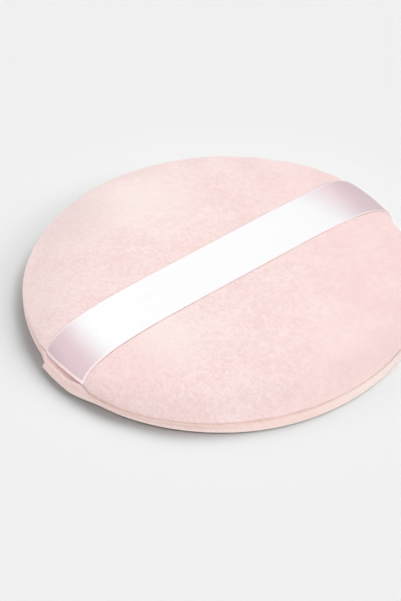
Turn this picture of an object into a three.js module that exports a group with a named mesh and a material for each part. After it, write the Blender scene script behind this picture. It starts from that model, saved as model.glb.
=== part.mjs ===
// A round velour powder puff with a satin finger ribbon.
// Millimetres, +Z up. The origin is the centre of the flat base, on the table,
// and X runs along the ribbon. Two velour covers meet at a seam groove low on
// the rim. Their edges turn in there, hold the ribbon's tails between them and
// close round a sponge pad.
import * as THREE from 'three';
import { mergeVertices } from 'three/addons/utils/BufferGeometryUtils.js';

// Driving dimensions of the puff
const puffDiameter = 84.5;
const crownHeight = 6.4; // from the seam to the top of the upper cover
const crownFlatness = 5.5; // exponent of the crown: higher is flatter, with tighter shoulders
const coverThickness = 0.7; // knitted backing and pile together
const rimHollow = 0.5; // height left between the lower cover's base and its turned-in edge
const rimInset = 0.3; // the seam lies this far inside the widest line of the rim
const foldRadius = 0.5; // outer radius of the fold where the upper cover turns in
const seamAllowance = 3.5; // cloth turned in past the fold, raw edge included
const fitGap = 0.3; // clearance between pieces that lie on each other

// Driving dimensions of the ribbon and of what it does to the rim
const ribbonWidth = 12.4;
const ribbonThickness = 0.3;
const mouthRun = 3; // length of rim over which the seam closes again beside the ribbon
const earReach = 1.4; // the lower cover is pushed out this far where a tail goes in
const earLead = 5.6; // the ear starts this far before the ribbon's centre line
const earSlope = 0.7; // comes out over this length
const earHold = 3; // keeps its reach until this far past the centre line
const earFade = 9; // and dies away over this length

// Driving dimensions of the sewing thread
const threadDiameter = 0.25;
const threadGap = 0.1; // clearance between the thread and the pile that it lies on
const stitchPitch = 2.1;
const stitchRise = 0.35; // a stitch climbs this far up the upper cover's fold

// Counts of facets
const mouthSteps = 3;
const earSteps = 2;
const runSteps = 3;
const sideSteps = 22;
const foldSteps = 3;
const shoulderSteps = 8;
const innerSteps = 6;
const rimSteps = 8;
const coreSteps = 8;
const ribbonColumns = 4;
const ribbonCrownSteps = 16;
const stitchSteps = 3;
const threadSides = 4;
const curveSamples = 240;

// Sizes worked out from the driving ones
const rimRadius = puffDiameter / 2;
const seamRadius = rimRadius - rimInset;
const rimTop = 2 * coverThickness + rimHollow; // upper face of the lower cover's edge
const seamHeight = rimTop + fitGap / 2;
const rimRound = rimTop / 2;
const threadClear = threadDiameter / 2 + threadGap;
const mouthLift = ribbonThickness + 2 * threadClear; // the upper cover's rise over tail and thread
const rawEdgeRadius = seamRadius - foldRadius - seamAllowance;
const halfRibbon = ribbonWidth / 2;

const at = (r, z) => new THREE.Vector2(r, z);
const smooth = (x, from, to) => THREE.MathUtils.smoothstep(x, from, to);
const halfTurn = Math.PI;
const quarterTurn = Math.PI / 2;

// Length along the rim from the nearest ribbon end, positive anticlockwise.
function alongRim(angle) {
  const turned = angle - halfTurn * Math.round(angle / halfTurn);
  return turned * seamRadius;
}

// How far the upper cover's edge is lifted, 1 over a tail and 0 where the seam is closed.
function mouthShare(angle) {
  const edge = halfRibbon + fitGap;
  return 1 - smooth(Math.abs(alongRim(angle)), edge, edge + mouthRun);
}

// How far the lower cover stands out at a tail: steep on one side, fading on the other.
function earAt(angle) {
  const s = alongRim(angle);
  const rise = smooth(s, -earLead, earSlope - earLead);
  return earReach * rise * (1 - smooth(s, earHold, earHold + earFade));
}

// Angles of the sections round the puff, close together where the ribbon goes in and
// where the ear comes out.
function sectionAngles() {
  const flat = (halfRibbon + fitGap) / seamRadius;
  const closed = (halfRibbon + fitGap + mouthRun) / seamRadius;
  const earStart = -earLead / seamRadius;
  const earOut = (earSlope - earLead) / seamRadius;
  const earEnd = earHold / seamRadius;
  const angles = [];
  const run = (from, to, steps) => {
    for (let i = 0; i < steps; i++) angles.push(from + ((to - from) * i) / steps);
  };
  for (const end of [0, halfTurn]) {
    run(end - closed, end - flat, runSteps);
    run(end - flat, end + earStart, 1);
    run(end + earStart, end + earOut, earSteps);
    run(end + earOut, end + earEnd, mouthSteps);
    run(end + earEnd, end + flat, 1);
    run(end + flat, end + closed, runSteps);
    run(end + closed, end + halfTurn - closed, sideSteps);
  }
  return angles;
}

// The crown from a level near the seam to the top, closely sampled: a superellipse, upright
// at the seam and level at the top.
function crownCurve(level) {
  const start = Math.asin((level - seamHeight) / crownHeight);
  const points = [];
  for (let i = 0; i < curveSamples; i++) {
    const phi = start + ((quarterTurn - start) * i) / curveSamples;
    const r = seamRadius * Math.pow(Math.cos(phi), 2 / crownFlatness);
    points.push(at(r, seamHeight + crownHeight * Math.sin(phi)));
  }
  return [...points, at(0, seamHeight + crownHeight)];
}

// Height of the crown at a distance from the axis.
function crownAt(r) {
  return seamHeight + crownHeight * Math.sqrt(1 - Math.pow(r / seamRadius, crownFlatness));
}

// The curve moved along its own normals. It runs from the rim up to the axis, and a
// positive distance moves it out.
function offsetCurve(points, distance) {
  const moved = points.map((p, i) => {
    const before = points[Math.max(i - 1, 0)];
    const after = points[Math.min(i + 1, points.length - 1)];
    const along = after.clone().sub(before).normalize();
    return at(p.x + along.y * distance, p.y - along.x * distance);
  });
  const last = points.length - 1;
  moved[last] = at(0, points[last].y + distance);
  return moved.filter((p, i) => i === last || p.x > 0);
}

// The part of a rising curve above a level, cut exactly at that level.
function above(points, level) {
  const first = points.findIndex((p) => p.y > level);
  if (first <= 0) return points;
  const share = (level - points[first - 1].y) / (points[first].y - points[first - 1].y);
  return [points[first - 1].clone().lerp(points[first], share), ...points.slice(first)];
}

// The same curve in a few straight steps, shorter where it bends more.
function simplified(points, steps) {
  const reach = [0];
  for (let i = 1; i < points.length; i++) {
    const step = points[i].clone().sub(points[i - 1]);
    const before = i > 1 ? points[i - 1].clone().sub(points[i - 2]) : step;
    const bend = Math.abs(Math.atan2(before.cross(step), before.dot(step)));
    reach.push(reach[i - 1] + bend + step.length() / puffDiameter);
  }
  const total = reach[reach.length - 1];
  const kept = [];
  for (let k = 0; k <= steps; k++) {
    const wanted = (total * k) / steps;
    const i = Math.max(1, reach.findIndex((x) => x >= wanted * (1 - Number.EPSILON)));
    const share = (wanted - reach[i - 1]) / (reach[i] - reach[i - 1]);
    kept.push(points[i - 1].clone().lerp(points[i], THREE.MathUtils.clamp(share, 0, 1)));
  }
  return kept;
}

// Where the upper cover's edge folds in, for a mouth opened by this share.
function upperFold(share) {
  const bottom = seamHeight + fitGap / 2 + mouthLift * share;
  const top = bottom + foldRadius;
  const rise = (top - seamHeight) / crownHeight;
  const outer = seamRadius * Math.pow(1 - rise * rise, 1 / crownFlatness);
  return { bottom, top, centre: at(outer - foldRadius, top) };
}

// Points of the fold's arc from its lowest point to its outermost.
function foldArc(centre, radius, steps) {
  const points = [];
  for (let i = 0; i < steps; i++) {
    const turn = (quarterTurn * i) / steps;
    points.push(at(centre.x + radius * Math.sin(turn), centre.y - radius * Math.cos(turn)));
  }
  return points;
}

// Closed surface over rows of points. Rows close on themselves, and the first and last
// column are either single points on the axis or joined to each other.
function revolved(rows, columnsClose) {
  const columns = rows[0].length;
  const index = [];
  const last = columnsClose ? columns : columns - 1;
  for (let i = 0; i < rows.length; i++) {
    const next = (i + 1) % rows.length;
    for (let j = 0; j < last; j++) {
      const after = (j + 1) % columns;
      const a = i * columns + j;
      const b = i * columns + after;
      const c = next * columns + after;
      const d = next * columns + j;
      if (rows[i][after].x !== 0 || rows[i][after].y !== 0) index.push(a, b, c);
      if (rows[i][j].x !== 0 || rows[i][j].y !== 0) index.push(a, c, d);
    }
  }
  return meshed(rows.flat(), index);
}

// Closed surface through loops of points, capped at both ends.
function tube(loops) {
  const sides = loops[0].length;
  const index = [];
  for (let i = 0; i < loops.length - 1; i++) {
    for (let j = 0; j < sides; j++) {
      const a = i * sides + j;
      const b = i * sides + ((j + 1) % sides);
      index.push(a, b, b + sides, a, b + sides, a + sides);
    }
  }
  const end = (loops.length - 1) * sides;
  for (let low = 0, high = sides - 1; high - low > 1; low++, high--) {
    index.push(low, high, low + 1, end + low, end + low + 1, end + high);
    if (high - low > 2) {
      index.push(low + 1, high, high - 1, end + low + 1, end + high - 1, end + high);
    }
  }
  return meshed(loops.flat(), index);
}

function meshed(points, index) {
  const geometry = new THREE.BufferGeometry();
  geometry.setAttribute('position', new THREE.Float32BufferAttribute(points.flatMap((p) => p.toArray()), 3));
  geometry.setIndex(index);
  const merged = mergeVertices(geometry);
  merged.computeVertexNormals();
  return merged;
}

// Rows of points in space for a section that changes with the angle.
function turned(section) {
  return sectionAngles().map((angle) =>
    section(angle).map((p) => new THREE.Vector3(p.x * Math.cos(angle), p.x * Math.sin(angle), p.y))
  );
}

// Upper cover: one cloth shell. Its section runs from the top down the outside, round
// the fold, in along the seam allowance and back up the inside.
function topCover() {
  return revolved(turned((angle) => {
    const fold = upperFold(mouthShare(angle));
    const outside = simplified(crownCurve(fold.top), shoulderSteps).reverse();
    const arc = foldArc(fold.centre, foldRadius, foldSteps).reverse();
    const inner = above(
      offsetCurve(crownCurve(seamHeight), -coverThickness),
      fold.bottom + coverThickness
    );
    return [
      ...outside,
      ...arc,
      at(rawEdgeRadius, fold.bottom),
      at(rawEdgeRadius, fold.bottom + coverThickness),
      ...simplified(inner, innerSteps)
    ];
  }), false);
}

// Centre of the lower cover's round rim, pushed out where a ribbon tail goes in.
function rimCentre(angle) {
  return at(rimRadius - rimRound + earAt(angle), rimRound);
}

// Lower cover: flat working face, half-round rim and an edge turned in under the upper
// cover's. Its section runs up the inside first and ends at the middle of the base.
function bottomCover() {
  const arc = (centre, radius, steps) => {
    const points = [];
    for (let i = 0; i <= steps; i++) {
      const turn = (halfTurn * i) / steps;
      points.push(at(centre.x + radius * Math.sin(turn), centre.y - radius * Math.cos(turn)));
    }
    return points;
  };
  return revolved(turned((angle) => {
    const centre = rimCentre(angle);
    return [
      at(0, coverThickness),
      ...arc(centre, rimRound - coverThickness, innerSteps),
      at(rawEdgeRadius, rimTop - coverThickness),
      at(rawEdgeRadius, rimTop),
      ...arc(centre, rimRound, rimSteps).reverse(),
      at(0, 0)
    ];
  }), false);
}

// Sponge pad: it fills the crown, sits on the turned-in edges and steps in to reach the
// lower cover inside them.
function foamCore() {
  return revolved(turned((angle) => {
    const shelf = upperFold(mouthShare(angle)).bottom + coverThickness + fitGap;
    const crown = above(offsetCurve(crownCurve(seamHeight), -coverThickness - fitGap), shelf);
    const stem = rawEdgeRadius - fitGap;
    return [
      ...simplified(crown, coreSteps).reverse(),
      at(stem, shelf),
      at(stem, coverThickness + fitGap),
      at(0, coverThickness + fitGap)
    ];
  }), false);
}

// The line that the ribbon follows from the raw edge inside the seam, round the fold and
// over the crown to the middle, at a distance out from the upper cover.
function ribbonLine(distance) {
  const fold = upperFold(1);
  const over = simplified(crownCurve(fold.top), ribbonCrownSteps);
  return [
    at(rawEdgeRadius, fold.bottom - distance),
    ...foldArc(fold.centre, foldRadius + distance, foldSteps),
    ...offsetCurve(over, distance)
  ];
}

// Finger ribbon: a flat strap. Its line is bent across its width to the round of the puff,
// so it lies on the crown from edge to edge and goes into the seam along the rim.
function ribbon() {
  const foldTop = upperFold(1).top;
  const placed = (p, end, y) => {
    const x = p.x * Math.sqrt(1 - (y / seamRadius) ** 2);
    const dip = p.y > foldTop && p.x < seamRadius ? crownAt(p.x) - crownAt(Math.hypot(x, y)) : 0;
    return new THREE.Vector3(end * x, y, p.y - dip);
  };
  const under = ribbonLine(fitGap);
  const over = ribbonLine(fitGap + ribbonThickness);
  const loop = (k, end) => {
    const outer = [];
    const inner = [];
    for (let j = 0; j <= ribbonColumns; j++) {
      const y = halfRibbon - (ribbonWidth * j) / ribbonColumns;
      outer.push(placed(over[k], end, y));
      inner.unshift(placed(under[k], end, y));
    }
    return [...outer, ...inner];
  };
  const steps = under.map((point, k) => k);
  const near = steps.map((k) => loop(k, -1));
  const far = steps.slice(0, -1).reverse().map((k) => loop(k, 1));
  return tube([...near, ...far]);
}

// Where the thread's centre lies at an angle, for a stitch that climbs from 0 to 1 up the
// upper fold. Away from the ribbon it rests on whichever fold stands furthest out. Towards
// the ribbon the stitches flatten, and the thread slips under the tail.
function threadPoint(angle, stitch) {
  const s = Math.abs(alongRim(angle));
  const open = halfRibbon + fitGap + mouthRun;
  const outside = smooth(s, open, open + mouthRun);
  const rise = stitchRise * smooth(s, open + mouthRun, open + 2 * mouthRun);
  const z = THREE.MathUtils.lerp(rimTop + threadClear, seamHeight, outside) + rise * stitch;
  const restsOn = (centre, radius) => {
    const reach = (radius + threadClear) ** 2 - (z - centre.y) ** 2;
    return reach > 0 ? centre.x + Math.sqrt(reach) : 0;
  };
  const onUpper = restsOn(upperFold(mouthShare(angle)).centre, foldRadius);
  const tucked = Math.max(onUpper, seamRadius - foldRadius);
  const shown = Math.max(onUpper, restsOn(rimCentre(angle), rimRound));
  return at(THREE.MathUtils.lerp(tucked, shown, outside), z);
}

// Seam thread: one closed run of slanting stitches in the groove all round the puff.
function seamThread() {
  const stitches = Math.round((2 * Math.PI * seamRadius) / stitchPitch);
  const steps = stitches * stitchSteps;
  const rows = [];
  for (let i = 0; i < steps; i++) {
    const angle = (2 * Math.PI * i) / steps;
    const centre = threadPoint(angle, (1 + Math.sin((2 * Math.PI * i) / stitchSteps)) / 2);
    const row = [];
    for (let j = 0; j < threadSides; j++) {
      const turn = (2 * Math.PI * j) / threadSides;
      const r = centre.x + (threadDiameter / 2) * Math.cos(turn);
      const z = centre.y - (threadDiameter / 2) * Math.sin(turn);
      row.push(new THREE.Vector3(r * Math.cos(angle), r * Math.sin(angle), z));
    }
    rows.push(row);
  }
  return revolved(rows, true);
}

const velour = { color: 0xf9e1de, roughness: 0.95, metalness: 0 };
const satin = { color: 0xfaf4f7, roughness: 0.35, metalness: 0 };
const cotton = { color: 0xd8b3aa, roughness: 0.8, metalness: 0 };
const sponge = { color: 0xf7f1e8, roughness: 1, metalness: 0 };

function part(name, geometry, finish) {
  const mesh = new THREE.Mesh(geometry, new THREE.MeshStandardMaterial(finish));
  mesh.name = name;
  return mesh;
}

const powderPuff = new THREE.Group();
powderPuff.add(
  part('top_cover', topCover(), velour),
  part('bottom_cover', bottomCover(), velour),
  part('foam_core', foamCore(), sponge),
  part('ribbon', ribbon(), satin),
  part('seam_thread', seamThread(), cotton)
);

export default powderPuff;
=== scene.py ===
import bmesh
import bpy
import numpy as np
from mathutils import Matrix, Vector


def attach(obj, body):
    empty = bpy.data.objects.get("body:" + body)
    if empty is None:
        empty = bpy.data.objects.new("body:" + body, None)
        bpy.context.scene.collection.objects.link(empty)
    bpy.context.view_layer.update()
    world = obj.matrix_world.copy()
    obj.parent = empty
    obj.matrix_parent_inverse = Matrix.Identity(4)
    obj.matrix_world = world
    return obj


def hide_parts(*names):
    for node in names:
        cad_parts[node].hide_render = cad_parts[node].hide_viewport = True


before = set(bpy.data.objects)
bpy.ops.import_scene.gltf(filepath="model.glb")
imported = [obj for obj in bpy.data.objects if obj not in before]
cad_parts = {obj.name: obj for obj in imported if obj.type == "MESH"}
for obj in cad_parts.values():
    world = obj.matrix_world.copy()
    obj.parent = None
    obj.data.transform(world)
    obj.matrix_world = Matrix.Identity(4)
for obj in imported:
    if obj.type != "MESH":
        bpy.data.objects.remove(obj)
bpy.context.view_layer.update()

# Lower cover: a disc of short-pile knitted velour, whose flat face lies on the table. Its edge flares to
# a thin brim, rises to the slightly uneven seam and turns in under the upper cover's. A ribbon tail
# pushes it out into a lip, which comes out in one short step and dies away along the rim.
mm = 0.001
puff_radius = 42.25 * mm
seam_radius = 42 * mm
cover_thickness = 0.7 * mm
rim_top = 1.95 * mm
brim_round = 0.42 * mm
crest_round = 0.22 * mm
wall_hollow = 0.2 * mm
raw_edge_radius = 37.5 * mm
in_from_brim = 0.5 * mm
lip_step = 0.4 * mm
lip_reach = 1.45 * mm
seam_gap = 0.05 * mm
mouth_lift = 0.85 * mm
mouth_slant = 0.42
mouth_tuck = 1.4 * mm
mouth_floor = 0.9
fit_gap = 0.3 * mm
half_ribbon = 6.2 * mm
mouth_run = 3 * mm
sections = 744
# How the rim leaves a circle: millimetres, then where round the rim and over what width in degrees.
seam_drawn_in = [(0.75, -97, 30), (0.3, -122, 14)]
seam_dips = [(0.6, -163, 12)]
brim_fuller = [(0.2, -170, 22)]
brim_further_out = [(0.25, -162, 10), (-0.2, 157, 15), (-0.19, -135, 12)]
brim_follows_seam = 0.15
# Waves of the outline: millimetres, waves in a turn and lead in degrees. Its flatter places near the far
# ribbon end: millimetres, where in degrees, and how narrow.
outline_waves = [(0.42, 1, -32), (0.55, 2, -18.5), (0.35, 3, 38.4)]
outline_flats = [(1.05, -18, 6.8), (0.7, -15, 60)]
# Directions on the table plan: to the right in the picture, and away from the camera.
rightward = (0.771, -0.637)
backward = (0.637, 0.771)
velour_light = (255, 233, 231)
velour_deep = (246, 216, 213)
velour_cream = (255, 243, 238)
# Painted shade for the rim band.
rim_shade_peach = (250, 219, 207)
# Painted highlight for the brim and the rim's sides.
velour_highlight = (255, 236, 231)
# Painted shade for the left.
velour_painted_shade = (225, 208, 205)
velour_pink = (252, 208, 206)


def smooth(x, start, end):
    """0 before start, 1 after end, and three t squared less two t cubed in between."""
    t = np.clip((x - start) / (end - start), 0, 1)
    return t * t * (3 - 2 * t)


def bell(x, middle, width):
    """A bell curve of height 1: e to the minus square of the distance from the middle, in widths."""
    return np.exp(-(((x - middle) / width) ** 2))


def lattice(points, cell, seed):
    """Smooth values from -1 to 1: random ones at the corners of cubic cells, blended inside each cell
    by the smooth curve along all three axes."""
    cells = 32
    table = np.random.default_rng(seed).uniform(-1, 1, (cells, cells, cells))
    q = points / cell
    low = np.floor(q).astype(int)
    f = q - low
    f = f * f * (3 - 2 * f)
    total = 0
    for corner in np.ndindex(2, 2, 2):
        i, j, k = np.moveaxis((low + corner) % cells, -1, 0)
        share = np.prod(np.where(np.array(corner) == 1, f, 1 - f), axis=-1)
        total = total + share * table[i, j, k]
    return total


def off(turn, degrees):
    """Degrees from a direction on the plan, between -180 and 180."""
    return np.degrees(np.angle(np.exp(1j * (turn - np.radians(degrees)))))


def bumps(turn, table):
    """The sum of the bell curves round the rim that a table lists."""
    return sum(size * mm * bell(off(turn, degrees), 0, width) for size, degrees, width in table)


def rim_run(turn):
    """Length along the rim from the nearest ribbon end, positive anticlockwise."""
    return (turn - np.pi * np.round(turn / np.pi)) * seam_radius


def stretched(turn, r):
    """The radius on the real, slightly uneven puff. The outline's cosine waves move it out, and each
    flatter place moves it in by e to the power of its narrowness times the cosine of the angle from it
    less one. All of this grows with the cube of the radius."""
    wave = sum(size * np.cos(waves * turn + np.radians(lead)) for size, waves, lead in outline_waves)
    for size, degrees, narrow in outline_flats:
        wave = wave - size * np.exp(narrow * (np.cos(turn - np.radians(degrees)) - 1))
    return r * (1 + wave * mm / puff_radius * (r / puff_radius) ** 2)


def in_space(turn, r, z):
    """Rows of points in space for radii and heights at each angle."""
    r = stretched(turn, r)
    return np.stack(np.broadcast_arrays(r * np.cos(turn), r * np.sin(turn), z), axis=-1)


def grid_quads(rows, columns, rows_wrap, columns_wrap):
    """The four corner numbers of each face of a grid of points, wrapped round where asked."""
    index = np.arange(rows * columns).reshape(rows, columns)
    if rows_wrap:
        index = np.concatenate([index, index[:1]])
    if columns_wrap:
        index = np.concatenate([index, index[:, :1]], axis=1)
    corners = [index[:-1, :-1], index[:-1, 1:], index[1:, 1:], index[1:, :-1]]
    return np.stack(corners, axis=-1).reshape(-1, 4)


def surface(name, points, rows_wrap, columns_wrap, weave=None):
    """A closed mesh over rows and columns of points. Columns and rows that don't wrap end in points that
    fall together, and are merged there. weave gives each point its place on the flat cloth, for UVs."""
    quads = grid_quads(*points.shape[:2], rows_wrap, columns_wrap)
    mesh = bpy.data.meshes.new(name)
    mesh.from_pydata(points.reshape(-1, 3), [], quads.tolist())
    if weave is not None:
        layer = mesh.uv_layers.new(name="weave")
        layer.uv.foreach_set("vector", weave.reshape(-1, 2)[quads.ravel()].astype(np.float32).ravel())
    made = bmesh.new()
    made.from_mesh(mesh)
    bmesh.ops.remove_doubles(made, verts=made.verts, dist=1e-7)
    bmesh.ops.dissolve_degenerate(made, edges=made.edges, dist=1e-8)
    made.to_mesh(mesh)
    made.free()
    mesh.shade_smooth()
    piece = bpy.data.objects.new(name, mesh)
    bpy.context.collection.objects.link(piece)
    return piece


class Wire:
    """One socket in a material. Arithmetic on it, from either side, adds Math nodes."""

    def __init__(self, tree, socket=None):
        self.tree, self.socket = tree, socket

    def node(self, kind, settings, values, output=0):
        """Adds a node of a kind: its settings first, then a value or a link for each socket."""
        made = self.tree.nodes.new(kind)
        for name, setting in settings.items():
            setattr(made, name, setting)
        for name, value in values.items():
            if isinstance(value, Wire):
                self.tree.links.new(value.socket, made.inputs[name])
            else:
                made.inputs[name].default_value = value
        return Wire(self.tree, made.outputs[output])

    def into(self, shader, name):
        """Links this to a socket of a shader."""
        self.tree.links.new(self.socket, shader.inputs[name])

    def maths(self, operation, first, second):
        return self.node("ShaderNodeMath", {"operation": operation}, {0: first, 1: second})

    def __add__(self, other):
        return self.maths("ADD", self, other)

    def __sub__(self, other):
        return self.maths("SUBTRACT", self, other)

    def __mul__(self, other):
        return self.maths("MULTIPLY", self, other)

    def __neg__(self):
        return self * -1

    def __rsub__(self, other):
        return self.maths("SUBTRACT", other, self)

    __radd__, __rmul__ = __add__, __mul__

    def ramp(self, start, end):
        """0 below start, 1 above end, smooth in between."""
        values = {0: self, 1: start, 2: end}
        return self.node("ShaderNodeMapRange", {"interpolation_type": "SMOOTHSTEP"}, values)

    def blend(self, first, second):
        """The first colour at 0 and the second at 1."""
        return self.node("ShaderNodeMix", {"data_type": "RGBA"}, {0: self, 6: first, 7: second}, 2)

    def along(self, x, y):
        """How far this place is along a direction on the table."""
        values = {0: self, 1: (x, y, 0)}
        return self.node("ShaderNodeVectorMath", {"operation": "DOT_PRODUCT"}, values, 1)

    def near(self, x, y, reach, level=7):
        """1 at a place given in millimetres, and 0 from the reach on."""
        middle = (x * mm, y * mm, level * mm)
        apart = self.node("ShaderNodeVectorMath", {"operation": "DISTANCE"}, {0: self, 1: middle}, 1)
        return 1 - apart.ramp(0, reach * mm)

    def grain(self, size, detail=2.0, rough=0.5):
        """Noise about as coarse as a size in metres, around a half, at this place."""
        values = {"Vector": self, "Scale": 1 / size, "Detail": detail, "Roughness": rough}
        return self.node("ShaderNodeTexNoise", {}, values)


def colour(red, green, blue):
    """Screen colours from 0 to 255 as the linear colour that a socket takes."""
    c = np.array([red, green, blue]) / 255
    return (*np.where(c > 0.04045, ((c + 0.055) / 1.055) ** 2.4, c / 12.92).tolist(), 1.0)


def finish(name, roughness, sheen=0, sheen_roughness=0.5, specular=0):
    """A new material: its shader with the constants set, and a wire to start from."""
    made = bpy.data.materials.new(name)
    made.use_nodes = True
    shader = made.node_tree.nodes["Principled BSDF"]
    shader.inputs["Roughness"].default_value = roughness
    shader.inputs["Sheen Weight"].default_value = sheen
    shader.inputs["Sheen Roughness"].default_value = sheen_roughness
    shader.inputs["Specular IOR Level"].default_value = specular
    return made, shader, Wire(made.node_tree)


velour, shader, wire = finish("velour", 0.95, sheen=0.25, sheen_roughness=0.45, specular=0.15)
place = wire.node("ShaderNodeTexCoord", {}, {}, 3)
lie_of_pile = {"Vector": place, "Rotation": (0, 0, 0.5), "Scale": (1, 0.65, 1)}
tufts = wire.node("ShaderNodeMapping", {}, lie_of_pile).grain(0.55 * mm, 4, 0.68)
clumps = place.grain(1.6 * mm, 2, 0.5)
pile = place.grain(0.22 * mm, 2, 0.6)
brushed = place.grain(9 * mm, 3, 0.55)
# The grain's contrast falls off to the right and the back. The velour is lighter cream in three places,
# pinker in others, and darker on the left and far left with painted shade. The rim band below the seam
# has painted peach shade, paler with painted highlight to the right and the left, and the thin brim has
# a painted highlight line.
to_right, to_back = place.along(*rightward), place.along(*backward)
grain_fading = to_right.ramp(-5 * mm, 32 * mm) * 0.62 + to_back.ramp(-5 * mm, 25 * mm) * 0.3
grain_contrast = wire.maths("MAXIMUM", 1 - grain_fading, 0.36)
shade = 0.5 + (tufts - 0.5) * grain_contrast * 3.6 + (clumps - 0.5) * 0.9 + (brushed - 0.5) * 1.3
cream_patches = (place.near(-1, 27.5, 18) + place.near(-24, -11, 13) + place.near(8, -36, 18) * 0.3) * 0.6
height = wire.node("ShaderNodeSeparateXYZ", {}, {"Vector": place}, 2)
paler = to_right.ramp(5 * mm, 30 * mm)
left = (-to_right).ramp(18 * mm, 44 * mm) * to_back.ramp(-25 * mm, -10 * mm)
# Painted shade and highlight: the rim band below the seam turns peach, and paler to the right and the
# left.
rim = (1 - height.ramp(1.9 * mm, 2.7 * mm)) * (paler * 0.5 + left * 0.5 + 0.35)
# Painted highlight: a pale line along the brim, reaching higher beside the near ribbon end.
brim_highlight = 1 - (height - place.near(-41, -10, 15) * (0.6 * mm)).ramp(0.35 * mm, 0.85 * mm)
cover_colour = shade.blend(colour(*velour_deep), colour(*velour_light))
cover_colour = cream_patches.blend(cover_colour, colour(*velour_cream))
# Painted shade: darker on the left and towards the far left.
painted_shade_mask = left * 0.28 + place.near(-14, 33, 15) * 0.22
cover_colour = painted_shade_mask.blend(cover_colour, colour(*velour_painted_shade))
pinker = paler * 0.22 + place.near(-34, -12, 15) * 0.25
cover_colour = pinker.blend(cover_colour, colour(*velour_pink))
# Painted highlight: the rim band's peach gives way to the pale highlight colour to the right and the
# left.
rim_painted_light = (paler + left).blend(colour(*rim_shade_peach), colour(*velour_highlight))
cover_colour = brim_highlight.blend(rim.blend(cover_colour, rim_painted_light), colour(*velour_highlight))
cover_colour.into(shader, "Base Color")
pile_relief = {"Strength": 0.5, "Distance": 0.12 * mm, "Height": tufts + pile * 0.4}
wire.node("ShaderNodeBump", {}, pile_relief).into(shader, "Normal")

u = np.linspace(0, 2 * np.pi, sections, endpoint=False)[:, None]
turn = u - 0.25 * np.sin(2 * u)  # closer together at the two ribbon ends
run = rim_run(turn)
near = smooth(np.cos(turn), 0, -0.5)
closes = half_ribbon + fit_gap - mouth_tuck * near * (run > 0)
mouth = 1 - smooth(np.abs(run), closes, closes + mouth_run)
mouth = mouth * (1 - mouth_slant * near * smooth(-run, -1 * mm, 5 * mm))
lip = lip_step * smooth(run, -8.5 * mm, -6.3 * mm)
lip = lip + (lip_reach - lip_step) * smooth(run, -5.6 * mm, -4.9 * mm)
lip = lip * (1 - smooth(run, 3 * mm, 12 * mm))
drawn_in = bumps(turn, seam_drawn_in)
seam_dip = bumps(turn, seam_dips) * smooth(np.abs(run), half_ribbon, 8.5 * mm)

brim_z = brim_round + bumps(turn, brim_fuller)
brim_r = puff_radius + bumps(turn, brim_further_out) - brim_follows_seam * drawn_in + lip - brim_z
beside_tail = (1 - smooth(-run, half_ribbon, 7 * mm)) * (1 - smooth(run, 2.5 * mm, 6.8 * mm))
crest_out = np.interp(lip, [0, lip_step, lip_reach], [0, 0.37 * mm, 0.72 * mm])
crest_r = seam_radius - drawn_in + 0.1 * mm + beside_tail * crest_out
crest_r = np.minimum(crest_r, brim_r + brim_z - crest_round - 0.02 * mm)
crest_rise = mouth_lift * mouth * (0.52 + 0.44 * smooth(np.abs(run), 3 * mm, half_ribbon))
crest_z = rim_top - crest_round + crest_rise - seam_dip


def arc_of(radius, height, size, start, end, steps):
    """An arc of the profile: its angle is 0 straight down, a quarter turn outward, half a turn straight
    up and three quarters inward."""
    angle = start + (end - start) * np.linspace(0, 1, steps)[None, :]
    return radius + size * np.sin(angle), height - size * np.cos(angle)


# The wall is the line that touches both arcs, hollowed a little, with two faint creases on the lip.
apart = np.hypot(brim_r - crest_r, crest_z - brim_z)
facing = (
    np.pi / 2
    + np.arctan2(brim_r - crest_r, crest_z - brim_z)
    + np.arcsin((brim_z - crest_round) / apart)
)
behind = np.pi + np.arccos(np.clip(1 - (1 - mouth_floor) * crest_rise / crest_round, 0, 1))
crest = arc_of(crest_r, crest_z, crest_round, behind, facing, 12)
brim = arc_of(brim_r, brim_z, brim_z, facing, 0 * facing, 16)
share = np.linspace(0, 1, 26)[None, 1:-1]
lip_creases = bell(share, 0.42, 0.05) + bell(share, 0.62, 0.05)
sunk = wall_hollow * (1 - 0.6 * lip / lip_reach) * np.sin(np.pi * share)
sunk = sunk + 0.07 * mm * smooth(lip, 0.2 * mm, 1 * mm) * lip_creases
wall_r = crest[0][:, -1:] + (brim[0][:, :1] - crest[0][:, -1:]) * share - sunk * np.sin(facing)
wall_z = crest[1][:, -1:] + (brim[1][:, :1] - crest[1][:, -1:]) * share + sunk * np.cos(facing)

# The whole profile runs from the middle of the inside out to the edge, round it and back along the base.
inside = np.linspace(0, 1, 12)[None, :] * (brim_r - 1 * mm)
inner_r = brim_r - in_from_brim
edge = np.linspace(1, 0, 4)[None, 1:]
inward = raw_edge_radius + edge * (crest[0][:, :1] - 0.02 * mm - raw_edge_radius)
under = raw_edge_radius + edge * (inner_r - raw_edge_radius)
base = np.linspace(1, 0, 60)[None, 1:] * brim_r
r = np.concatenate([inside, inner_r, under, inward[:, ::-1], crest[0], wall_r, brim[0], base], axis=1)
z = np.concatenate(
    [
        np.full_like(inside, cover_thickness),
        np.full_like(inner_r, rim_top / 2),
        np.full_like(under, rim_top - cover_thickness),
        rim_top + mouth_floor * crest_rise - seam_dip + 0 * inward,
        crest[1],
        wall_z,
        brim[1],
        np.zeros_like(base),
    ],
    axis=1,
)
points = in_space(turn, r, z)
lower_cover = surface("lower_cover", points, rows_wrap=True, columns_wrap=False)
lower_cover.data.materials.append(velour)
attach(lower_cover, "root")
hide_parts("bottom_cover")

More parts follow.
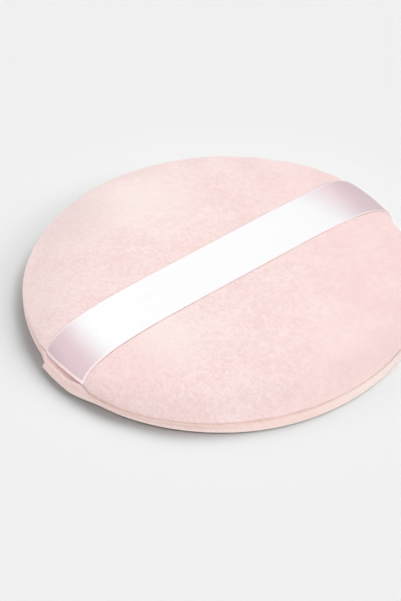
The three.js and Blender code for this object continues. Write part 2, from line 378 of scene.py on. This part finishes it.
# Upper cover: the same velour, drawn over the sponge into a flat crown with a tight shoulder. It folds
# under at the seam, and its turned-in edge lies on the lower cover's.
crown_height = 6.38 * mm
crown_flatness = 5.5
seam_height = 2.1 * mm
fold_radius = 0.5 * mm
cloth_slack = -0.02
swell_cap = 0.3 * mm
crown_steps = 100
fold_looser = [(0.24, -125, 22)]
# Relief of the velour: height and size of cells in millimetres, and seed. Its two short creases: their
# ends on the plan and their depth, in millimetres.
relief_grains = [(0.05, 7, 1), (0.03, 2.5, 2), (0.02, 0.9, 3)]
creases = [((-2.3, 36.3), (7.2, 31.5), 0.16), ((33.7, 14.3), (35.7, 10), 0.12)]


def crown_radius(z):
    """Radius of the crown at a height: the radius share to the power of the flatness, and the square of
    the height share, add up to 1."""
    return seam_radius * (1 - ((z - seam_height) / crown_height) ** 2) ** (1 / crown_flatness)


def crown_at(r):
    """Height of the crown at a radius, by the same sum."""
    share = np.clip(1 - (r / seam_radius) ** crown_flatness, 0, 1)
    return seam_height + crown_height * np.sqrt(share)


def crown_line(offset):
    """Radius, height and length along the crown from the top to the seam, moved along its own normals by
    the offset. The cosine of an angle to the power of two over the flatness is the radius share, and its
    sine is the height share."""
    phi = np.linspace(np.pi / 2, 0, 3000)
    r = seam_radius * np.cos(phi) ** (2 / crown_flatness)
    z = seam_height + crown_height * np.sin(phi)
    r[0] = 0
    dr, dz = np.gradient(r), np.gradient(z)
    size = np.hypot(dr, dz)
    r, z = r - offset * dz / size, z + offset * dr / size
    r[0] = 0
    keep = np.concatenate([[True], np.diff(r) >= 0]) | (z < seam_height + 0.9 * crown_height)
    r, z = r[keep], z[keep]
    return r, z, np.concatenate([[0], np.cumsum(np.hypot(np.diff(r), np.diff(z)))])


def cut(line, level, shares):
    """Points of a line from the top down to a level, at shares of that length."""
    r, z, length = line
    end = np.interp(-level, -z, length)
    at = end * shares
    return np.interp(at, length, r), np.interp(at, length, z)


def drawn(r):
    """Radii near the rim, moved in as far as the seam is drawn in there."""
    return r - drawn_in * smooth(r, 34 * mm, 41.5 * mm)


snug = smooth(-run, 7 * mm, 10 * mm) * near
at_mouth = 1 - smooth(np.abs(run), half_ribbon, 7.4 * mm)
tighter = 0.22 * mm - bumps(turn, fold_looser) + 0.08 * mm * snug
fold_size = fold_radius - tighter * (1 - at_mouth)
fold_bottom = rim_top + seam_gap + mouth_lift * mouth - seam_dip
fold_top = fold_bottom + fold_size
fold_middle = crown_radius(fold_top) - fold_size

outer_r, outer_z = cut(crown_line(0), fold_top, np.linspace(0, 1, crown_steps)[None, :])
arc_r, arc_z = arc_of(fold_middle, fold_top, fold_size, np.pi / 2, 0, 11)
flange_r = raw_edge_radius + np.array([[0.5, 0]]) * (fold_middle - raw_edge_radius)
flange_z = fold_bottom + 0 * flange_r
lining_end = fold_bottom + cover_thickness
inner_r, inner_z = cut(crown_line(-cover_thickness), lining_end, np.linspace(1, 0, 20)[None, :])
r = drawn(np.concatenate([outer_r, arc_r[:, 1:], flange_r, flange_r[:, ::-1], inner_r], axis=1))
z = np.concatenate([outer_z, arc_z[:, 1:], flange_z, flange_z + cover_thickness, inner_z], axis=1)
points = in_space(turn, r, z)


def outward(turn, r, z):
    """Unit normals of profiles carried round the axis: the profile's own slope, turned a quarter."""
    dr, dz = np.gradient(r, axis=1), np.gradient(z, axis=1)
    size = np.hypot(dr, dz)
    return np.stack([-dz / size * np.cos(turn), -dz / size * np.sin(turn), dr / size], axis=-1)


def blown_up(turn, r, z, scale=12, frames=20):
    """How far each point of the crown moves along its normal under the sponge's push: a cloth simulation
    at twelve times the size, held at the seam and under the ribbon, with gravity off."""
    start, normal = in_space(turn, r, z), outward(turn, r, z)
    rows, columns = start.shape[:2]
    quads = grid_quads(rows, columns, rows_wrap=True, columns_wrap=False)
    mesh = bpy.data.meshes.new("blown_up")
    mesh.from_pydata((start * scale).reshape(-1, 3), [], quads.tolist())
    cloth_cover = bpy.data.objects.new("blown_up", mesh)
    bpy.context.collection.objects.link(cloth_cover)
    held = (np.abs(start[..., 1]) < half_ribbon) | (np.arange(columns) == columns - 1)
    cloth_cover.vertex_groups.new(name="held").add(np.flatnonzero(held).tolist(), 1, "REPLACE")
    cloth = cloth_cover.modifiers.new("cloth", "CLOTH").settings
    cloth.quality = 6
    cloth.tension_stiffness = cloth.compression_stiffness = 20
    cloth.bending_stiffness = 2
    cloth.air_damping = 4
    cloth.vertex_group_mass = "held"
    cloth.shrink_min = cloth_slack
    cloth.use_pressure = True
    cloth.uniform_pressure_force = 4
    cloth.effector_weights.gravity = 0
    for step in range(1, frames + 1):
        bpy.context.scene.frame_set(step)
    moved = np.empty(rows * columns * 3)
    result = cloth_cover.evaluated_get(bpy.context.evaluated_depsgraph_get()).data
    result.vertices.foreach_get("co", moved)
    bpy.context.scene.frame_set(1)
    bpy.data.objects.remove(cloth_cover)
    bpy.data.meshes.remove(mesh)
    return ((moved.reshape(rows, columns, 3) / scale - start) * normal).sum(axis=-1)


def weights(at, grid, width, turns=None):
    """How much each grid value counts at each place: a bell curve of the distance, with a sum of one."""
    apart = at[:, None] - grid[None, :]
    if turns:
        apart = apart - turns * np.round(apart / turns)
    w = bell(apart, 0, width)
    return w / w.sum(axis=1, keepdims=True)


def pinch(points, start, end, depth, width):
    """A short crease between two places on the plan: a bell curve across it, times twice the square root
    of the product of the shares of its length behind and ahead."""
    start, end = np.array(start) * mm, np.array(end) * mm
    along = end - start
    share = np.clip((points[..., :2] - start) @ along / (along @ along), 0, 1)
    aside = np.linalg.norm(points[..., :2] - start - share[..., None] * along, axis=-1)
    return -depth * mm * bell(aside, 0, width) * np.sqrt(4 * share * (1 - share))


shown = outer_r.shape[1] + arc_r.shape[1] - 1
normal = outward(turn, r[:, :shown], z[:, :shown])
normal[:, 0] = (0, 0, 1)
face = points[:, :shown]
relief_height = sum(size * mm * lattice(face, cell * mm, seed) for size, cell, seed in relief_grains)
# The pile is pressed down under the ribbon and banked up beside it.
beside = np.abs(face[..., 1])
relief_height = relief_height - 0.1 * mm * (1 - smooth(beside, 5.8 * mm, 6.35 * mm))
towards_far_end = smooth(face[..., 0], 14 * mm, 30 * mm)
pile_bank = 0.05 * mm + (0.08 * mm + 0.07 * mm * (face[..., 1] < 0)) * towards_far_end
relief_height = relief_height + pile_bank * bell(beside, 6.52 * mm, 0.36 * mm)
for start, end, depth in creases:
    relief_height = relief_height + pinch(face, start, end, depth, 0.5 * mm)
coarse_turn = np.linspace(0, 2 * np.pi, 120, endpoint=False)
coarse_share = np.linspace(0.04, 1, 30)
coarse_r, coarse_z = cut(crown_line(0), seam_height, coarse_share[None, :])
level = 0 * coarse_turn[:, None]
swell = blown_up(coarse_turn[:, None], coarse_r + level, coarse_z + level)
swell = np.clip(swell, -swell_cap, swell_cap)
swell = swell - 0.7 * swell.mean(axis=0)  # the crown keeps its height
fine_share = np.concatenate([np.linspace(0, 1, crown_steps), np.ones(shown - crown_steps)])
round_rim = weights(turn[:, 0], coarse_turn, 0.05, 2 * np.pi)
swell = round_rim @ swell @ weights(fine_share, coarse_share, 0.03).T
relief_height = relief_height + swell * smooth(beside, 5.8 * mm, 11 * mm) * (fine_share < 1)
points[:, :shown] = face + normal * relief_height[..., None]
upper_cover = surface("upper_cover", points, rows_wrap=True, columns_wrap=False)
upper_cover.data.materials.append(velour)
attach(upper_cover, "root")
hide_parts("top_cover")

# Sponge pad: open-cell foam that fills the crown, rests on the turned-in edges and steps in to reach the
# lower cover inside them. It is hidden once the seam is closed.
sponge_light = (248, 243, 235)
sponge_deep = (222, 214, 202)
shelf = fold_bottom + cover_thickness + fit_gap
pad_r, pad_z = cut(crown_line(-cover_thickness - fit_gap), shelf, np.linspace(0, 1, 40)[None, :])
stem = raw_edge_radius - fit_gap
foot = cover_thickness + fit_gap
r = drawn(np.concatenate([pad_r, np.full((sections, 2), stem), np.zeros((sections, 1))], axis=1))
z = np.concatenate([pad_z, shelf, np.full((sections, 2), foot)], axis=1)
sponge_pad = surface("sponge_pad", in_space(turn, r, z)[::3], rows_wrap=True, columns_wrap=False)
sponge, shader, wire = finish("sponge", 1, specular=0.2)
place = wire.node("ShaderNodeTexCoord", {}, {}, 3)
cells = wire.node("ShaderNodeTexVoronoi", {}, {"Vector": place, "Scale": 1 / (0.8 * mm)})
cells.ramp(0.1, 0.7).blend(colour(*sponge_deep), colour(*sponge_light)).into(shader, "Base Color")
cell_relief = {"Strength": 0.6, "Distance": 0.2 * mm, "Height": cells}
wire.node("ShaderNodeBump", {}, cell_relief).into(shader, "Normal")
sponge_pad.data.materials.append(sponge)
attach(sponge_pad, "root")
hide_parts("foam_core")

# Finger ribbon: half-inch satin with thicker woven edges, laid tight across the crown. Each end folds
# round the upper cover's edge, where the crease stands out a little, and its tail is sewn in the seam.
ribbon_gap = 0.03 * mm
half_cloth = 0.08 * mm
selvedge = 5.95 * mm
selvedge_pitch = 0.62 * mm
crease_level = 3.28 * mm
crease_height = 0.22 * mm
far_edge_lift = 0.6 * mm
satin_bright = (240, 240, 240)
# Painted shade for both ribbon ends.
satin_painted_shade = (224, 199, 205)
selvedge_white = (252, 238, 240)
# Painted highlight for the fold creases.
crease_highlight = (255, 232, 235)


def ribbon_line():
    """Radius, height, normal and length of the ribbon's middle surface, from the tail's cut edge out to
    the fold, round it and over the crown to the middle."""
    bottom = rim_top + seam_gap + mouth_lift
    top = bottom + fold_radius
    middle = crown_radius(top) - fold_radius
    away = ribbon_gap + half_cloth
    arc = np.linspace(0, np.pi / 2, 22)[:-1]
    over_r, over_z = cut(crown_line(away), top, 1 - np.linspace(0, 1, 220) ** 1.3)
    tail_r = np.linspace(raw_edge_radius, middle, 5)[:-1]
    r = np.concatenate([tail_r, middle + (fold_radius + away) * np.sin(arc), over_r])
    z = np.concatenate([np.full(4, bottom - away), top - (fold_radius + away) * np.cos(arc), over_z])
    dr, dz = np.gradient(r), np.gradient(z)
    length = np.concatenate([[0], np.cumsum(np.hypot(np.diff(r), np.diff(z)))])
    return r, z, dz / np.hypot(dr, dz), -dr / np.hypot(dr, dz), length


line_r, line_z, out_r, out_z, length = ribbon_line()
folded_at = np.interp(crease_level, line_z, length)
crease = crease_height * bell(length, folded_at - 0.16 * mm, 0.24 * mm)
crease = crease - 0.05 * mm * bell(length, folded_at + 0.5 * mm, 0.35 * mm)
edge_rows = np.linspace(half_ribbon, 5.6 * mm, 10)
across = np.concatenate([edge_rows, np.linspace(5.2 * mm, -5.2 * mm, 17), -edge_rows[::-1]])
past = np.clip((np.abs(across) - selvedge) / (half_ribbon - selvedge), 0, 1)
thick = (half_cloth + 0.02 * mm * bell(np.abs(across), selvedge, 0.14 * mm)) * np.sqrt(1 - past**2)
y = np.concatenate([across, across[::-1]])[None, :]
side = np.concatenate([thick, -thick[::-1]])[None, :]
end = np.ones((len(line_r), 1))
end[0] = 0
flat_r = line_r[:, None] + out_r[:, None] * (crease[:, None] + side * end)
flat_z = line_z[:, None] + out_z[:, None] * (crease[:, None] + side * end)
bent = flat_r * np.sqrt(1 - (y / seam_radius) ** 2)
on_crown = smooth(length, folded_at, folded_at + 0.6 * mm)[:, None]
dip = on_crown * (crown_at(np.clip(flat_r, 0, seam_radius)) - crown_at(np.hypot(bent, y)))
height = flat_z - dip
# Each tail slants down with its mouth, and the far end's outer edge stands off the crown.
tuck_start = half_ribbon + fit_gap - mouth_tuck
slant = mouth_slant * mouth_lift * smooth(y, -1 * mm, 5 * mm)
slant = slant + mouth_lift * smooth(-y, tuck_start, tuck_start + mouth_run)
slant = slant * (1 - smooth(length, folded_at, folded_at + 2.5 * mm))[:, None]
lifted = far_edge_lift * bell(flat_r, 36 * mm, 4.5 * mm) * smooth(y, -4 * mm, 5 * mm)
x = np.concatenate([-bent, bent[::-1][1:]])
yy = np.broadcast_to(y, x.shape)
zz = np.concatenate([height - slant, (height + lifted)[::-1][1:]])
angle, reach = np.arctan2(yy, x), np.hypot(x, yy)
scale = stretched(angle, reach) / np.maximum(reach, 1e-9)
points = np.stack([x * scale, yy * scale, zz], axis=-1)
along_ribbon = np.concatenate([length - length[-1], (length[-1] - length)[::-1][1:]])
weave = np.stack([yy, np.broadcast_to(along_ribbon[:, None], x.shape)], axis=-1)
finger_ribbon = surface("finger_ribbon", points, rows_wrap=False, columns_wrap=True, weave=weave)

satin, shader, wire = finish("satin", 0.38, specular=0.6)
woven = wire.node("ShaderNodeUVMap", {"uv_map": "weave"}, {})
cross = wire.node("ShaderNodeSeparateXYZ", {}, {"Vector": woven}, 0)
along = wire.node("ShaderNodeSeparateXYZ", {}, {"Vector": woven}, 1)
from_edge = wire.maths("ABSOLUTE", cross, 0)
from_middle = wire.maths("ABSOLUTE", along, 0)
floats = wire.node("ShaderNodeMapping", {}, {"Vector": woven, "Scale": (1, 0.05, 1)}).grain(0.12 * mm)
slubs = wire.node("ShaderNodeMapping", {}, {"Vector": woven, "Scale": (1, 0.12, 1)}).grain(0.9 * mm)
# Painted shade: both ends darken towards the deeper colour, the far end's boundary slanting across; slub
# tone is mixed in.
far_end = (along + cross * 0.25).ramp(24.5 * mm, 36 * mm)
near_end = (cross * 0.12 - along).ramp(32.4 * mm, 40.2 * mm)
painted_end_shade_and_slubs = far_end + near_end + (slubs - 0.5) * 0.25
satin_colour = painted_end_shade_and_slubs.blend(colour(*satin_bright), colour(*satin_painted_shade))
dots = wire.maths("SINE", along * (2 * np.pi / selvedge_pitch), 0) * 0.24 + 0.7
band = from_edge.ramp(5.72 * mm, 5.85 * mm) * dots
# Painted highlight: pale pink from each end's fold crease out along the tail.
painted_crease_highlight = (from_middle - float(length[-1] - folded_at)).ramp(-0.45 * mm, -0.1 * mm)
satin_colour = band.blend(satin_colour, colour(*selvedge_white))
painted_crease_highlight.blend(satin_colour, colour(*crease_highlight)).into(shader, "Base Color")
satin_relief = {"Strength": 0.25, "Distance": 0.03 * mm, "Height": floats + slubs * 0.8}
wire.node("ShaderNodeBump", {}, satin_relief).into(shader, "Normal")
finger_ribbon.data.materials.append(satin)
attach(finger_ribbon, "root")
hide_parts("ribbon")

# Seam thread: one run of short stitches in the groove between the two covers, pulled tight so that each
# lies in the pile. It slips under the ribbon's tails.
thread_radius = 0.11 * mm
stitches = 124
thread_peach = (240, 215, 204)
thread_turn = np.linspace(0, 2 * np.pi, stitches * 16, endpoint=False)[:, None]
under_tail = 1 - smooth(np.abs(rim_run(thread_turn)), 6.6 * mm, 8.5 * mm)


def at_thread(values):
    """Values at the covers' angles, read off at the thread's."""
    return np.interp(thread_turn, turn[:, 0], values[:, 0], period=2 * np.pi)


edge_size = at_thread(fold_size)
edge_r = at_thread(fold_middle) - at_thread(drawn_in)
seam_level = rim_top - at_thread(seam_dip)
thread_z = seam_level + thread_radius - 0.02 * mm
rise = seam_level + seam_gap + edge_size - thread_z
thread_r = edge_r + np.sqrt((edge_size + thread_radius) ** 2 - rise**2)
sunk = (0.5 - 0.5 * np.cos(stitches * thread_turn)) ** 6
thread_r = thread_r - 0.1 * mm * sunk - 1.2 * mm * under_tail
thread_z = thread_z - 0.16 * mm * sunk + 0.1 * mm * under_tail
ring = np.linspace(0, 2 * np.pi, 8, endpoint=False)[None, :]
r, z = thread_r + thread_radius * np.cos(ring), thread_z - thread_radius * np.sin(ring)
points = in_space(thread_turn, r, z)
seam_stitches = surface("seam_stitches", points, rows_wrap=True, columns_wrap=True)
cotton, shader, wire = finish("cotton", 0.8, sheen=0.2, specular=0.3)
shader.inputs["Base Color"].default_value = colour(*thread_peach)
seam_stitches.data.materials.append(cotton)
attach(seam_stitches, "root")
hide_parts("seam_thread")

# Table, light and camera: a pale table in a pale room, with a painted shadow round the puff. The light
# is flatter on the velour and less even on the ribbon than one set of lamps gives, so the table, the
# velour and the ribbon have one each.
table_half = 3
table_level = -0.02 * mm
table_white = (242, 242, 242)
# Painted shadow round the puff, a little cyan against the pink light thrown back by the velour.
painted_table_shadow = (235, 238, 238)
room_white = 0.887
# Lamps: name, height and side in degrees, spread in degrees, and light.
table_lamps = [
    ("window_right", 45, -15, 25, 0.24),
    ("window_middle", 45, 15, 25, 0.263),
    ("window_left", 45, 45, 25, 0.126),
    ("low_right", 25, -45, 25, 0.147),
    ("low_middle", 25, -15, 25, 0.017),
    ("low_left", 25, 45, 25, 0.021),
    ("low_back", 25, 135, 25, 0.026),
    ("back_left", 65, 90, 25, 0.057),
    ("back_middle", 35, 110, 25, 0.039),
    ("back_high", 45, 135, 25, 0.019),
    ("front_right", 45, -75, 25, 0.03),
]
velour_lamps = [
    ("front_panel", 45, -146, 40, 0.305),
    ("back_panel", 42, 65, 50, 0.428),
    ("side_panel", 22, -58, 30, 0.166),
    ("top_panel", 75, 0, 30, 0.05),
    ("left_panel", 12, 172, 40, 0.046),
]
ribbon_lamps = [
    ("ribbon_front", 45, -130, 40, 0.58),
    ("ribbon_strip", 45, 62, 42, 0.28),
    ("ribbon_side", 45, -75, 30, 0.12),
]
# The camera looks at the middle of the base from its azimuth and elevation in degrees, moved to its own
# right and up. Distances are in metres, and the lens and sensor are in millimetres.
camera_azimuth, camera_elevation = -39.56, 41.04
camera_distance = 0.4402
camera_right, camera_up = -0.00489, -0.001805
camera_lens, camera_sensor = 126.33, 36

table_mesh = bpy.data.meshes.new("table")
signs = [(-1, -1), (1, -1), (1, 1), (-1, 1)]
table_corners = [(x * table_half, y * table_half, table_level) for x, y in signs]
table_mesh.from_pydata(table_corners, [], [(0, 1, 2, 3)])
table = bpy.data.objects.new("table", table_mesh)
bpy.context.collection.objects.link(table)
table_material, shader, wire = finish("table_with_painted_shadow", 1)
place = wire.node("ShaderNodeTexCoord", {}, {}, 3)
from_puff = wire.node("ShaderNodeVectorMath", {"operation": "LENGTH"}, {0: place}, 1)
# Painted shadow: the table is darker and a little cyan within ten millimetres of the puff.
away = from_puff.ramp(42.5 * mm, 52 * mm)
away.blend(colour(*painted_table_shadow), colour(*table_white)).into(shader, "Base Color")
table_mesh.materials.append(table_material)


def soft_lamp(name, height, side, spread, light, lit):
    """A far, broad lamp at a height and side in degrees. It adds that much light to what faces the sky,
    and reaches only the pieces named."""
    height, side = np.radians(height), np.radians(side)
    lamp = bpy.data.lights.new(name, "SUN")
    lamp.energy = np.pi * light / np.sin(height)
    lamp.angle = np.radians(spread)
    hung = bpy.data.objects.new(name, lamp)
    bpy.context.collection.objects.link(hung)
    towards = Vector((np.cos(height) * np.cos(side), np.cos(height) * np.sin(side), np.sin(height)))
    hung.rotation_euler = towards.to_track_quat("Z", "Y").to_euler()
    reached = bpy.data.collections.new(name)
    for piece in lit:
        reached.objects.link(piece)
    hung.light_linking.receiver_collection = reached


for lamp in table_lamps:
    soft_lamp(*lamp, [table])
for lamp in velour_lamps:
    soft_lamp(*lamp, [lower_cover, upper_cover, seam_stitches])
for lamp in ribbon_lamps:
    soft_lamp(*lamp, [finger_ribbon])

# The room is seen, mirrored and shows through, but lights nothing.
world = bpy.data.worlds.new("room")
bpy.context.scene.world = world
world.use_nodes = True
sky = world.node_tree.nodes["Background"]
wire = Wire(world.node_tree)
seen, mirrored, through = (wire.node("ShaderNodeLightPath", {}, {}, ray) for ray in (0, 3, 6))
direct = wire.maths("MAXIMUM", wire.maths("MAXIMUM", seen, mirrored), through)
(direct * room_white).into(sky, "Strength")
sky.inputs["Color"].default_value = (1, 1, 1, 1)

lens = bpy.data.cameras.new("camera")
camera = bpy.data.objects.new("camera", lens)
bpy.context.collection.objects.link(camera)
bpy.context.scene.camera = camera
azimuth, elevation = np.radians(camera_azimuth), np.radians(camera_elevation)
level_back = Vector((np.sin(azimuth), -np.cos(azimuth), 0))
back = level_back * np.cos(elevation) + Vector((0, 0, np.sin(elevation)))
right = Vector((np.cos(azimuth), np.sin(azimuth), 0))
up = back.cross(right)
turned = Matrix((right, up, back)).transposed().to_4x4()
stands = back * camera_distance + right * camera_right + up * camera_up
camera.matrix_world = Matrix.Translation(stands) @ turned
lens.lens, lens.sensor_width = camera_lens, camera_sensor
lens.clip_start, lens.clip_end = 0.01, 20
bpy.context.scene.view_settings.view_transform = "Standard"
